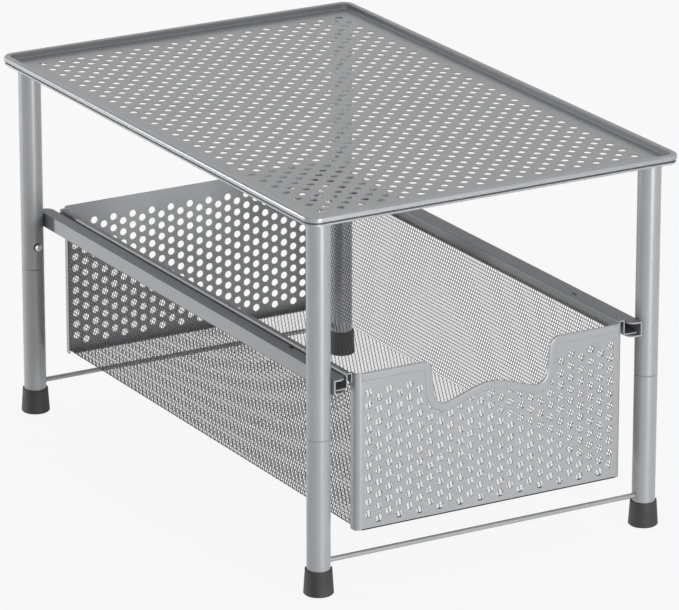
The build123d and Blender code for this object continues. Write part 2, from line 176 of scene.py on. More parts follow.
def finish(name, dark, light, rough, metallic, grain_scale, bump_strength, stretch=(1.0, 1.0, 1.0)):
    """A material whose tone, roughness and bump vary, with a grain stretched for rolled or drawn metal."""
    made = bpy.data.materials.new(name)
    made.use_nodes = True
    tree = made.node_tree
    shader = tree.nodes["Principled BSDF"]
    place = node(tree, "ShaderNodeTexCoord").outputs["Object"]
    turned = node(tree, "ShaderNodeMapping", {"Vector": place, "Scale": stretch}).outputs[0]
    grain = node(tree, "ShaderNodeTexNoise", {"Vector": turned, "Scale": grain_scale, "Detail": 4.0})
    wear = node(tree, "ShaderNodeTexNoise", {"Vector": place, "Scale": wear_scale, "Detail": 5.0})
    ramp = node(tree, "ShaderNodeValToRGB", {"Fac": wear.outputs["Fac"]})
    darkest, lightest = ramp.color_ramp.elements
    darkest.position, lightest.position = 0.35, 0.7
    darkest.color, lightest.color = (*dark, 1.0), (*light, 1.0)
    gloss = node(tree, "ShaderNodeMapRange", {
        "Value": grain.outputs["Fac"], "From Min": 0.3, "From Max": 0.7,
        "To Min": rough[0], "To Max": rough[1],
    })
    bump = node(tree, "ShaderNodeBump", {
        "Height": grain.outputs["Fac"], "Strength": bump_strength, "Distance": grain_depth,
    })
    tree.links.new(ramp.outputs["Color"], shader.inputs["Base Color"])
    tree.links.new(gloss.outputs["Result"], shader.inputs["Roughness"])
    tree.links.new(bump.outputs["Normal"], shader.inputs["Normal"])
    shader.inputs["Metallic"].default_value = metallic
    return made


rubber = finish("black_rubber", (0.02, 0.02, 0.022), (0.032, 0.032, 0.035), (0.6, 0.8), 0.0, 900.0, 0.35)
chrome = finish(
    "button_chrome", (0.62, 0.63, 0.65), (0.8, 0.8, 0.82), (0.06, 0.16), 1.0, 500.0, 0.03, (1, 1, 8),
)
spring = finish(
    "spring_steel", (0.3, 0.3, 0.31), (0.45, 0.45, 0.46), (0.22, 0.38), 1.0, 300.0, 0.1, (1, 1, 0.05),
)
plastic = finish("plug_plastic", (0.03, 0.03, 0.032), (0.05, 0.05, 0.053), (0.35, 0.5), 0.0, 500.0, 0.15)
print("finishes:", rubber.name, chrome.name, spring.name, plastic.name)

# %% [markdown]
# ## Finishes on the solids that stay
#
# Legs, feet, rails, runners, rods and the ring under the tray already have their real shape as
# solids. They only need their finish, which goes into the object's material slots and leaves the
# mesh alone. The start of each solid's name says which finish it takes, and the rest are silver.

# %% Dress the solids
finish_of = {
    "foot": rubber, "snap_button": chrome, "leaf_spring": spring, "leg_plug": plastic,
    "rail": silver_strip, "runner": silver_strip,
}
for name, piece in nodes.items():
    coat = next((made for start, made in finish_of.items() if name.startswith(start)), silver)
    for material_slot in piece.material_slots:
        material_slot.material = coat
print("dressed", len(nodes), "solids")

# %% [markdown]
# ## Lines with rounded corners
#
# Bent sheet metal is drawn as straight runs with an arc at each bend. This helper takes the sharp
# corners and a bend radius for each, and gives back the points along the rounded line. The tray's
# plan, the side view of the netting and the wavy hand cut-out all come from it.


# %% Rounded line helper
def rounded(corners, radii, closed=False, arc_step=math.radians(11)):
    """Points along a line through these corners, with an arc of the given radius at each bend."""
    line = [] if closed else [Vector(corners[0])]
    count = len(corners)
    bends = range(count) if closed else range(1, count - 1)
    for bend in bends:
        before, corner, after = (Vector(corners[(bend + step) % count]) for step in (-1, 0, 1))
        radius = radii[bend if closed else bend - 1]
        arrive, leave = (corner - before).normalized(), (after - corner).normalized()
        turn = arrive.angle(leave)
        setback = radius * math.tan(turn / 2)
        side = 1.0 if arrive.x * leave.y - arrive.y * leave.x > 0 else -1.0
        centre = corner - arrive * setback + Vector((-arrive.y, arrive.x)) * side * radius
        steps = max(2, round(turn / arc_step))
        spoke = corner - arrive * setback - centre
        for step in range(steps + 1):
            line.append(centre + Matrix.Rotation(side * turn * step / steps, 2) @ spoke)
    return line if closed else line + [Vector(corners[-1])]


def line_curve(name, points, closed=False):
    """A curve of straight pieces through these points, which are flat or have a height."""
    curve = bpy.data.curves.new(name, "CURVE")
    curve.dimensions = "3D"
    spline = curve.splines.new("POLY")
    spline.points.add(len(points) - 1)
    for point, place in zip(spline.points, points):
        point.co = (place[0], place[1], place[2] if len(place) > 2 else 0.0, 1.0)
    spline.use_cyclic_u = closed
    return curve


print("a quarter bend takes", len(rounded([(0, 0), (1, 0), (1, 1)], [0.2])), "points")

# %% [markdown]
# ## Growing pieces with geometry nodes
#
# Three shapes here follow a rule: holes in rows, an edge that follows a path, and wires that bend
# from side to side. Each rule becomes one node tree with named inputs for its sizes. The first
# helper starts a tree with those inputs. Another one hangs the tree on a curve, types the sizes in,
# and keeps the result as a plain mesh, since an instance or a live modifier wouldn't survive the
# export.


# %% Helpers that start a tree and keep what it grows
def start_tree(name, sizes):
    """A geometry tree with one named input for each size, and the sockets of its group input."""
    tree = bpy.data.node_groups.new(name, "GeometryNodeTree")
    tree.interface.new_socket("Geometry", in_out="INPUT", socket_type="NodeSocketGeometry")
    kinds = {int: "NodeSocketInt", float: "NodeSocketFloat", str: "NodeSocketObject"}
    for label, value in sizes.items():
        socket = tree.interface.new_socket(label, in_out="INPUT", socket_type=kinds[type(value)])
        if not isinstance(value, str):
            socket.default_value = value
    tree.interface.new_socket("Coat", in_out="INPUT", socket_type="NodeSocketMaterial")
    tree.interface.new_socket("Geometry", in_out="OUTPUT", socket_type="NodeSocketGeometry")
    return tree, node(tree, "NodeGroupInput").outputs


def end_tree(tree, geometry, coat):
    """Ends a tree with real geometry in one finish."""
    real = node(tree, "GeometryNodeRealizeInstances", {"Geometry": geometry}).outputs[0]
    coated = node(tree, "GeometryNodeSetMaterial", {"Geometry": real, "Material": coat}).outputs[0]
    node(tree, "NodeGroupOutput", {"Geometry": coated})


def grow(tree, curve, sizes, coat):
    """The plain mesh that the tree makes from a curve with these sizes."""
    seed = bpy.data.objects.new(curve.name, curve)
    scene.collection.objects.link(seed)
    modifier = seed.modifiers.new(tree.name, "NODES")
    modifier.node_group = tree
    inputs = [item for item in tree.interface.items_tree if item.in_out == "INPUT"]
    identifiers = {item.name: item.identifier for item in inputs}
    for label, value in {**sizes, "Coat": coat}.items():
        modifier[identifiers[label]] = value
    evaluated = seed.evaluated_get(bpy.context.evaluated_depsgraph_get())
    mesh = bpy.data.meshes.new_from_object(evaluated)
    seed.modifiers.remove(modifier)
    bpy.data.objects.remove(seed)
    return mesh


print("tree helpers ready")

# %% [markdown]
# ## The rule for perforated sheet
#
# A punched sheet has its holes in columns, every second column half a step lower. A grid gives a
# point for each hole, and the points of odd columns move down by half a row. In some sheets the
# odd columns are one hole shorter, so their lowest point goes first.

# %% Perforated sheet: a point for each hole
tree, given = start_tree("Perforated sheet", {
    "Columns": 25, "Rows": 11, "Column pitch": 0.008, "Row pitch": 0.008, "Hole radius": 0.0027,
    "Middle": 0.0, "Margin": 0.006, "Short odd columns": 0, "Sides": 16, "Sheet": 0.0008,
})
outline = given["Geometry"]
wide = sum_of(tree, "MULTIPLY", sum_of(tree, "SUBTRACT", given["Columns"], 1.0), given["Column pitch"])
tall = sum_of(tree, "MULTIPLY", sum_of(tree, "SUBTRACT", given["Rows"], 1.0), given["Row pitch"])
grid = node(tree, "GeometryNodeMeshGrid", {
    "Size X": wide, "Size Y": tall, "Vertices X": given["Columns"], "Vertices Y": given["Rows"],
}).outputs["Mesh"]
where = node(tree, "ShaderNodeSeparateXYZ", {0: node(tree, "GeometryNodeInputPosition").outputs[0]}).outputs
from_left = sum_of(tree, "MULTIPLY_ADD", wide, 0.5, where["X"])
from_bottom = sum_of(tree, "MULTIPLY_ADD", tall, 0.5, where["Y"])
column = sum_of(tree, "ROUND", sum_of(tree, "DIVIDE", from_left, given["Column pitch"]))
row = sum_of(tree, "ROUND", sum_of(tree, "DIVIDE", from_bottom, given["Row pitch"]))
odd = sum_of(tree, "MODULO", column, 2.0)
lowest = sum_of(tree, "LESS_THAN", row, 0.5)
unwanted = sum_of(tree, "MULTIPLY", sum_of(tree, "MULTIPLY", lowest, odd), given["Short odd columns"])
kept = node(tree, "GeometryNodeDeleteGeometry", {
    "Geometry": grid, "Selection": unwanted,
}, domain="POINT").outputs[0]
lowered = sum_of(tree, "MULTIPLY", sum_of(tree, "MULTIPLY", odd, given["Row pitch"]), -0.5)
shift = node(tree, "ShaderNodeCombineXYZ", {"Y": sum_of(tree, "ADD", lowered, given["Middle"])}).outputs[0]
punched = node(tree, "GeometryNodeSetPosition", {"Geometry": kept, "Offset": shift}).outputs[0]
print("hole places take", len(tree.nodes), "nodes")

# %% [markdown]
# Holes too near the outline are never punched. A ray that drops from each point tells if the sheet
# is there, and the distance to the outline tells how near it is. A circle goes on each point that
# passes both.

# %% Perforated sheet: the holes that are punched
ray_height = 10 * mm
plain = node(tree, "GeometryNodeFillCurve", {"Curve": outline}).outputs[0]
edge = node(tree, "GeometryNodeCurveToMesh", {"Curve": outline}).outputs[0]
spot = node(tree, "GeometryNodeInputPosition").outputs[0]
above = node(tree, "ShaderNodeVectorMath", {0: spot, 1: (0, 0, ray_height)}, operation="ADD").outputs[0]
hit = node(tree, "GeometryNodeRaycast", {
    "Target Geometry": plain, "Source Position": above,
    "Ray Direction": (0, 0, -1), "Ray Length": 2 * ray_height,
}).outputs["Is Hit"]
near = node(tree, "GeometryNodeProximity", {"Geometry": edge}, target_element="EDGES").outputs["Distance"]
wanted = sum_of(tree, "MULTIPLY", hit, sum_of(tree, "GREATER_THAN", near, given["Margin"]))
circle = node(tree, "GeometryNodeCurvePrimitiveCircle", {
    "Resolution": given["Sides"], "Radius": given["Hole radius"],
}).outputs["Curve"]
holes = node(tree, "GeometryNodeInstanceOnPoints", {
    "Points": punched, "Selection": wanted, "Instance": circle,
}).outputs[0]
rims = node(tree, "GeometryNodeRealizeInstances", {"Geometry": holes}).outputs[0]
print("with the circles it has", len(tree.nodes), "nodes")

# %% [markdown]
# Filling the outline and the circles together leaves the circles open, since a fill counts nested
# outlines as holes. The flat sheet then gets its thickness by moving a flipped copy back, which
# closes the hole walls.

# %% Perforated sheet: the sheet and its thickness
lines = node(tree, "GeometryNodeJoinGeometry")
tree.links.new(outline, lines.inputs[0])
tree.links.new(rims, lines.inputs[0])
face = node(tree, "GeometryNodeFillCurve", {"Curve": lines.outputs[0]}).outputs[0]
back = node(tree, "GeometryNodeFlipFaces", {"Mesh": face}).outputs[0]
deep = node(tree, "GeometryNodeExtrudeMesh", {
    "Mesh": back, "Offset": (0, 0, -1), "Offset Scale": given["Sheet"], "Individual": False,
}).outputs["Mesh"]
both = node(tree, "GeometryNodeJoinGeometry")
tree.links.new(face, both.inputs[0])
tree.links.new(deep, both.inputs[0])
closed_sheet = node(tree, "GeometryNodeMergeByDistance", {
    "Geometry": both.outputs[0], "Distance": 0.01 * mm,
}).outputs[0]
end_tree(tree, closed_sheet, given["Coat"])
perforated = tree
print("perforated sheet tree has", len(tree.nodes), "nodes")

# %% [markdown]
# ## The rule for a rolled edge
#
# A press rolls the edge of a sheet to the same section all the way along, which is what Curve to
# Mesh does: it carries a section along a path. The path is the modifier's own curve, and the
# section is another object that the tree takes as an input.

# %% Rolled edge tree
tree, given = start_tree("Rolled edge", {"Section": "section"})
section = node(tree, "GeometryNodeObjectInfo", {"Object": given["Section"]}).outputs["Geometry"]
swept = node(tree, "GeometryNodeCurveToMesh", {
    "Curve": given["Geometry"], "Profile Curve": section, "Fill Caps": True,
}).outputs[0]
end_tree(tree, swept, given["Coat"])
rolled_edge = tree


def roll(name, path, section_points, closed=False):
    """The mesh of an edge: a closed section, given as (inwards, up) from the path, carried along it."""
    profile = line_curve(name + "_section", [(-inwards, -up) for inwards, up in section_points], closed=True)
    holder = bpy.data.objects.new(profile.name, profile)
    scene.collection.objects.link(holder)
    mesh = grow(rolled_edge, line_curve(name + "_path", path, closed), {"Section": holder}, silver)
    bpy.data.objects.remove(holder)
    return mesh


print("rolled edge tree has", len(tree.nodes), "nodes")

# %% [markdown]
# ## Putting meshes together as one piece
#
# Each finished piece is one object at the origin with its place in its mesh. This helper joins the
# meshes that it is given, merges points that fall together, turns every face outwards and smooths
# the bends while the crisp sheet edges stay sharp. It then gives the piece its finish, puts it on
# the body that it moves with, and hides the solids that it stands for.


# %% Helper that finishes a piece
same_place, sharp_bend = 0.002 * mm, math.radians(32)


def finished_piece(name, meshes, body, slot, coat, *stands_for):
    """Makes one object of these meshes, riding on a body in place of the named solids."""
    shell = bmesh.new()
    for mesh in meshes:
        shell.from_mesh(mesh)
        bpy.data.meshes.remove(mesh)
    bmesh.ops.remove_doubles(shell, verts=shell.verts, dist=same_place)
    bmesh.ops.recalc_face_normals(shell, faces=shell.faces)
    joined = bpy.data.meshes.new(name)
    shell.to_mesh(joined)
    shell.free()
    joined.shade_smooth()
    joined.set_sharp_from_angle(angle=sharp_bend)
    joined.materials.clear()
    joined.materials.append(coat)
    piece = bpy.data.objects.new(name, joined)
    scene.collection.objects.link(piece)
    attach(piece, body)
    if stands_for:
        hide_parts(*stands_for)
    triangles = sum(len(face.vertices) - 2 for face in joined.polygons)
    print(name, "has", triangles, "triangles and replaces", list(stands_for))


# %% [markdown]
# ## The tray
#
# The tray is one pressed sheet. Its floor is punched all over, in two sets of rows that sit in each
# other's gaps. Its edge rises, rolls outwards over a round shoulder and comes down again as a
# skirt, which stops just above the frame and leaves a narrow dark gap. The section is drawn once,
# from the skirt inwards, and rolled round the rounded plan of the tray.

# %% Tray sizes
tray_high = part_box("tray_top")[1]
half_x, half_y, rim_top = tray_high
tray_depth, tray_sheet, sheet = 4.4 * mm, 0.6 * mm, 0.8 * mm
floor_top = rim_top - tray_depth
rim, fillet_end = 4.6 * mm, 5.8 * mm
rim_corner, floor_corner, floor_lap = 9 * mm, 3.2 * mm, 0.1 * mm
print("tray floor at", round(floor_top / mm, 1), "mm, rim at", round(rim_top / mm, 1), "mm")


def plan(inset, corner_radius):
    """Points round the tray's plan, this far inside its outer face."""
    x, y = half_x - inset, half_y - inset
    corners = [(x, y), (-x, y), (-x, -y), (x, -y)]
    return rounded(corners, [corner_radius] * 4, closed=True, arc_step=math.radians(8))


# %% [markdown]
# The rim's section starts at the foot of the skirt, goes over the shoulder and down the inner wall
# to the floor, and comes back underneath, about a sheet's thickness away.

# %% Rim section and rim
skirt, drop = -3.6 * mm, floor_top - rim_top
crown, inner_crown, shoulder_radii = 0.12 * mm, -0.4 * mm, [1.5 * mm, 0.6 * mm, 0.9 * mm]
upper_corners = [(0, skirt), (0, crown), (rim - 0.35 * mm, inner_crown), (rim, drop), (fillet_end, drop)]
upper_side = rounded(upper_corners, shoulder_radii)
under = drop - tray_sheet
lower_side = [
    (fillet_end, under), (rim - tray_sheet, under), (rim - 0.9 * mm, -1.1 * mm),
    (tray_sheet, -0.8 * mm), (tray_sheet, skirt),
]
rim_section = [tuple(point) for point in upper_side] + lower_side
rim_mesh = roll("tray_rim", plan(0, rim_corner), rim_section, closed=True)
rim_mesh.transform(Matrix.Translation((0, 0, rim_top)))
print("rim section has", len(rim_section), "points")

# %% [markdown]
# The floor laps the end of the rim's section by a tenth of a millimetre, so no slit shows between
# them. Every second column of its holes is one hole shorter.

# %% Tray floor and the finished tray
floor_outline = line_curve("tray_floor", plan(fillet_end - floor_lap, floor_corner), closed=True)
floor_mesh = grow(perforated, floor_outline, {
    "Columns": 33, "Rows": 27, "Column pitch": 7.525 * mm, "Row pitch": 15.12 * mm,
    "Hole radius": 2.8 * mm, "Margin": 8 * mm, "Short odd columns": 1, "Sides": 14, "Sheet": tray_sheet,
}, silver)
floor_mesh.transform(Matrix.Translation((0, 0, floor_top)))
finished_piece("tray_pressed", [rim_mesh, floor_mesh], "stand", "silver_coat", silver, "tray_top")

# %% [markdown]
# ## The drawer's panels
#
# The front and rear panels are the same pressing: a punched sheet whose sides wrap round the
# corners of the drawer, with its top edge pressed to a plain raised band. On the front the band
# dips in a wave that leaves room for a hand, and the holes stop at it, some cut in half. Flat
# pieces are drawn looking at the panel, X across and Y up, and then stood on edge: Z, which is out
# of the page, becomes the way that the panel faces.

# %% Panel sizes
panel_low, panel_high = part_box("front_panel")
rear_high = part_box("rear_panel")[1]
panel_half, panel_bottom, panel_top = panel_high[0], panel_low[2], panel_high[2]
crease_rise, crease_room, band, band_corner = 0.45 * mm, 0.5 * mm, 6 * mm, 4.5 * mm
front_face, rear_face = panel_low[1] + crease_room, rear_high[1]
flat_half = panel_half - band_corner
return_depth, flange_depth = 7.5 * mm, 9 * mm
panel_height = panel_top - panel_bottom
print("panel", round(2 * panel_half / mm, 1), "mm wide,", round(panel_height / mm, 1), "mm high")


def stand_up(mesh, face, facing):
    """Stands a flat mesh on edge with its Z towards the front (-1) or the rear (1)."""
    turn = Matrix.Rotation(math.radians(180), 4, "Z") if facing > 0 else Matrix.Identity(4)
    mesh.transform(Matrix.Translation((0, face, 0)) @ turn @ Matrix.Rotation(math.radians(90), 4, "X"))
    return mesh


# %% [markdown]
# Some bits have one plain section all the way: the sides of a panel that go round the drawer's
# corners, the flange along its foot, and the straight wires of the netting. Each is a flat outline
# drawn up from one height to another. For a bent strip, the outline is a path and its copy one
# sheet's thickness away.


# %% Prisms for bent strips and small flats
def prism(outline_points, low, high):
    """A closed outline in plan, drawn up from one height to another."""
    solid = bmesh.new()
    base = [solid.verts.new((x, y, low)) for x, y in outline_points]
    face = solid.faces.new(base)
    lifted = bmesh.ops.extrude_face_region(solid, geom=[face])["geom"]
    tops = [part for part in lifted if isinstance(part, bmesh.types.BMVert)]
    bmesh.ops.translate(solid, verts=tops, vec=(0, 0, high - low))
    bmesh.ops.triangulate(solid, faces=solid.faces)
    mesh = bpy.data.meshes.new("prism")
    solid.to_mesh(mesh)
    solid.free()
    return mesh


def strip(path, thickness):
    """The outline of a bent strip: a path and its copy this far to the left."""
    inner = []
    for place, point in enumerate(path):
        ahead = (path[min(place + 1, len(path) - 1)] - path[max(place - 1, 0)]).normalized()
        inner.append(point + Vector((-ahead.y, ahead.x)) * thickness)
    return list(path) + inner[::-1]


print("prism helper ready")

# %% [markdown]
# The hand cut-out is drawn like every bent line here, from sharp corners and a radius for each. It
# drops steeply at both ends and rises to a low crest between them. The corners are given as shares
# of half its width and of its depth, and the rounding then cuts the deepest ones back a little.

# %% The wave of the hand cut-out
wave_half, wave_depth = 54.5 * mm, 31 * mm
shoulder_share, trough_share, deepest_share, crest_share = 0.848, 0.787, -1.113, -0.652
half_wave = [(shoulder_share * wave_half, 0), (trough_share * wave_half, deepest_share * wave_depth)]
other_half = [(-x, z) for x, z in half_wave[::-1]]
wave_corners = [(flat_half, 0), *half_wave, (0, crest_share * wave_depth), *other_half, (-flat_half, 0)]
shoulder_radius, trough_radius, crest_radius = 7 * mm, 9 * mm, 40 * mm
wave_radii = [shoulder_radius, trough_radius, crest_radius, trough_radius, shoulder_radius]
wave_line = rounded(wave_corners, wave_radii)
wave_line = [point + Vector((0, panel_top)) for point in wave_line]
straight_line = [Vector((flat_half, panel_top)), Vector((-flat_half, panel_top))]
print("the cut-out is", round((panel_top - min(point.y for point in wave_line)) / mm, 1), "mm deep")

# %% [markdown]
# The band is a strip along the top line, from just behind the sheet to a little in front of it. Its
# lower edge slopes up from the sheet's face as a crease, and its top corner is rounded. On the
# front, holes are punched up to a little inside the band's edge, so that the band cuts some of them.

# %% The band's section and the pattern of holes
band_back, band_foot, crease_width = -sheet - 0.04 * mm, 0.02 * mm, 0.7 * mm
band_corners = [
    (band, band_back), (band, band_foot), (band - crease_width, crease_rise),
    (0, crease_rise), (0, band_back),
]
band_section = rounded(band_corners, [0.15 * mm, 0.3 * mm, 1.1 * mm])
panel_rows, panel_row_pitch, first_row = 11, 8.46 * mm, 14.2 * mm
hole_grid = {
    "Columns": 25, "Rows": panel_rows, "Column pitch": 7.8 * mm, "Row pitch": panel_row_pitch,
    "Middle": panel_top - first_row - (panel_rows - 1) / 2 * panel_row_pitch,
    "Hole radius": 2.7 * mm, "Sides": 18, "Sheet": sheet,
}
hole_margin = {"front": band - 1.6 * mm, "rear": 2 * mm}
print("band section has", len(band_section), "points")


# %% [markdown]
# Both panels are put together the same way. The punched sheet and its band are drawn flat and stood
# on edge, and the two sides and the flange along the foot are added as prisms.


# %% Panels
def panel(end, top_line, face, facing):
    """One end of the drawer, pressed from a sheet and facing the front (-1) or the rear (1)."""
    lower_corners = [Vector((-flat_half, panel_bottom)), Vector((flat_half, panel_bottom))]
    outline_curve = line_curve(f"{end}_face", list(top_line) + lower_corners, closed=True)
    sizes = {**hole_grid, "Margin": hole_margin[end]}
    sheet_mesh = stand_up(grow(perforated, outline_curve, sizes, silver), face, facing)
    band_mesh = stand_up(roll(f"{end}_band", top_line, band_section), face, facing)
    returns = []
    for side in (-1, 1):
        return_end = face - facing * return_depth
        bend = [(side * flat_half, face), (side * panel_half, face), (side * panel_half, return_end)]
        thickness = -sheet if side * facing > 0 else sheet
        returns.append(prism(strip(rounded(bend, [band_corner]), thickness), panel_bottom, panel_top))
    inwards = face - facing * flange_depth
    flange = [(-flat_half, face), (flat_half, face), (flat_half, inwards), (-flat_half, inwards)]
    flange_mesh = prism(flange, panel_bottom, panel_bottom + sheet)
    finished_piece(
        f"{end}_panel_pressed", [sheet_mesh, band_mesh, flange_mesh, *returns],
        "drawer", "silver_coat", silver, f"{end}_panel",
    )


panel("front", wave_line, front_face, -1)
panel("rear", straight_line, rear_face, 1)

# %% [markdown]
# ## The rule for wire netting
#
# The drawer's sides and floor are fine wire netting. Each wire is bent from side to side and meets
# its two neighbours in turn, so that the openings are small hexagons in staggered rows. In the
# sides the wires stand upright and go round the fold, and in the floor they run front to back. So
# the tree makes both: a line from side to side on every point of a straight line from front to
# back, or the other way round. At a point of a wire the netting then has two counts, which wire it
# is and which point along it.

# %% Wire netting: its inputs and three helpers
tree, given = start_tree("Wire netting", {
    "Pitch": 0.0014, "Length": 0.4, "Wire radius": 0.0002, "Bend": 0.0005, "Stretch": 0.0002,
    "Lengthwise": 1, "Flatness": 0.45, "Rib pitch": 0.1193, "Rib middle": 0.0, "Rib length": 0.137,
    "Rib width": 0.009, "Rib rise": 0.0014, "Floor": 0.0,
})


def noted(geometry, name, value, kind):
    """The geometry with a value kept on its points under a name."""
    return node(tree, "GeometryNodeStoreNamedAttribute", {
        "Geometry": geometry, "Name": name, "Value": value,
    }, data_type=kind, domain="POINT").outputs[0]


def recalled(name, kind):
    """The value kept on the points under a name."""
    return node(tree, "GeometryNodeInputNamedAttribute", {"Name": name}, data_type=kind).outputs[0]


def either(kind, if_upright, if_lengthwise):
    """One of two sockets: the first for upright wires, the second for lengthwise ones."""
    return node(tree, "GeometryNodeSwitch", {
        "Switch": given["Lengthwise"], "False": if_upright, "True": if_lengthwise,
    }, input_type=kind).outputs[0]


print("helpers ready:", noted.__name__, recalled.__name__, either.__name__)

# %% Wire netting: straight wires and their counts
steps = sum_of(tree, "ROUND", sum_of(tree, "DIVIDE", given["Length"], given["Pitch"]))
bent = node(tree, "GeometryNodeResampleCurve", {
    "Curve": given["Geometry"], "Length": given["Pitch"],
}, mode="LENGTH").outputs[0]
bent = noted(bent, "sideways", node(tree, "GeometryNodeInputTangent").outputs[0], "FLOAT_VECTOR")
bent = noted(bent, "across", node(tree, "GeometryNodeSplineParameter").outputs["Index"], "INT")
far_end = node(tree, "ShaderNodeCombineXYZ", {"Y": given["Length"]}).outputs[0]
straight = node(tree, "GeometryNodeCurvePrimitiveLine", {"End": far_end}).outputs[0]
straight = node(tree, "GeometryNodeResampleCurve", {
    "Curve": straight, "Count": sum_of(tree, "ADD", steps, 1.0),
}, mode="COUNT").outputs[0]
straight = noted(straight, "along", node(tree, "GeometryNodeSplineParameter").outputs["Index"], "INT")
lengthwise = node(tree, "GeometryNodeInstanceOnPoints", {"Points": bent, "Instance": straight}).outputs[0]
upright = node(tree, "GeometryNodeInstanceOnPoints", {"Points": straight, "Instance": bent}).outputs[0]
laid = either("GEOMETRY", upright, lengthwise)
wires = node(tree, "GeometryNodeRealizeInstances", {"Geometry": laid}).outputs[0]
print("straight wires take", len(tree.nodes), "nodes")

# %% [markdown]
# Points go in pairs along a wire: two lean one way and the next two the other way, and every second
# wire starts with the other pair. Moving the two points of a pair apart or together makes the
# touching stretch longer or shorter.

# %% Wire netting: bends from side to side
count_across, count_along = recalled("across", "INT"), recalled("along", "INT")
sideways = recalled("sideways", "FLOAT_VECTOR")
endways = node(tree, "ShaderNodeCombineXYZ", {"Y": 1.0}).outputs[0]
wire_number = either("FLOAT", count_along, count_across)
point_number = either("FLOAT", count_across, count_along)
in_pair = sum_of(tree, "MODULO", point_number, 2.0)
pair = sum_of(tree, "MULTIPLY", sum_of(tree, "SUBTRACT", point_number, in_pair), 0.5)
leaning = sum_of(tree, "MODULO", sum_of(tree, "ADD", pair, wire_number), 2.0)
lean = sum_of(tree, "MULTIPLY", sum_of(tree, "MULTIPLY_ADD", leaning, 2.0, -1.0), given["Bend"])
push = sum_of(tree, "MULTIPLY", sum_of(tree, "MULTIPLY_ADD", in_pair, 2.0, -1.0), given["Stretch"])
leant = node(tree, "ShaderNodeVectorMath", {
    0: either("VECTOR", endways, sideways), "Scale": lean,
}, operation="SCALE").outputs[0]
pushed = node(tree, "ShaderNodeVectorMath", {
    0: either("VECTOR", sideways, endways), "Scale": push,
}, operation="SCALE").outputs[0]
moved = node(tree, "ShaderNodeVectorMath", {0: leant, 1: pushed}, operation="ADD").outputs[0]
wires = node(tree, "GeometryNodeSetPosition", {"Geometry": wires, "Offset": moved}).outputs[0]
print("with their bends they take", len(tree.nodes), "nodes")

# %% [markdown]
# Ribs pressed across the floor stiffen it. Each one is a long round-ended ridge, so its height
# depends on how far a point is from the rib's middle line: past half the rib's width there is none.

# %% Wire netting: pressed ribs
place = node(tree, "ShaderNodeSeparateXYZ", {0: node(tree, "GeometryNodeInputPosition").outputs[0]}).outputs
from_rib = sum_of(tree, "SUBTRACT", place["Y"], given["Rib middle"])
rib_number = sum_of(tree, "ROUND", sum_of(tree, "DIVIDE", from_rib, given["Rib pitch"]))
nearest = sum_of(tree, "MULTIPLY", rib_number, given["Rib pitch"])
beside = sum_of(tree, "SUBTRACT", from_rib, nearest)
half_run = sum_of(tree, "MULTIPLY", sum_of(tree, "SUBTRACT", given["Rib length"], given["Rib width"]), 0.5)
from_middle = sum_of(tree, "ABSOLUTE", place["X"])
beyond = sum_of(tree, "MAXIMUM", sum_of(tree, "SUBTRACT", from_middle, half_run), 0.0)
beyond_squared = sum_of(tree, "MULTIPLY", beyond, beyond)
distance = sum_of(tree, "SQRT", sum_of(tree, "MULTIPLY_ADD", beside, beside, beyond_squared))
half_width = sum_of(tree, "MULTIPLY", given["Rib width"], 0.5)
flat_top_share = 0.35
flat_top = sum_of(tree, "MULTIPLY", half_width, flat_top_share)
raised = node(tree, "ShaderNodeMapRange", {
    "Value": distance, "From Min": half_width, "From Max": flat_top,
    "To Min": 0.0, "To Max": given["Rib rise"],
}, interpolation_type="SMOOTHSTEP").outputs[0]
on_floor = sum_of(tree, "LESS_THAN", place["Z"], given["Floor"])
rib_lift = node(tree, "ShaderNodeCombineXYZ", {"Z": sum_of(tree, "MULTIPLY", raised, on_floor)}).outputs[0]
wires = node(tree, "GeometryNodeSetPosition", {"Geometry": wires, "Offset": rib_lift}).outputs[0]
print("with the ribs they take", len(tree.nodes), "nodes")

# %% [markdown]
# The floor's wire is rolled flat, and the sides' wire is nearly round. A section's X lies along a
# curve's normal, so the normal is set to stand out of the netting, and the section is made thinner
# in X before it is drawn along.

# %% Wire netting: the wire's section
facing = node(tree, "ShaderNodeVectorMath", {0: sideways, 1: endways}, operation="CROSS_PRODUCT").outputs[0]
wires = node(tree, "GeometryNodeSetCurveNormal", {"Curve": wires, "Normal": facing}, mode="FREE").outputs[0]
round_section = node(tree, "GeometryNodeCurvePrimitiveCircle", {
    "Resolution": 4, "Radius": given["Wire radius"],
}).outputs["Curve"]
flattened = node(tree, "ShaderNodeCombineXYZ", {"X": given["Flatness"], "Y": 1.0, "Z": 1.0}).outputs[0]
flat_section = node(tree, "GeometryNodeTransform", {
    "Geometry": round_section, "Scale": flattened,
}).outputs[0]
drawn = node(tree, "GeometryNodeCurveToMesh", {
    "Curve": wires, "Profile Curve": flat_section, "Fill Caps": True,
}).outputs[0]
end_tree(tree, drawn, given["Coat"])
netting = tree
print("wire netting tree has", len(tree.nodes), "nodes")

# %% [markdown]
# ## The netting of the drawer
#
# Four pieces of netting make the trough: each side with its fold, and the two halves of the floor.
# Four keep every piece small enough for the export. The sides also have a straight wire along each
# row of turns, halfway between two pairs of points.

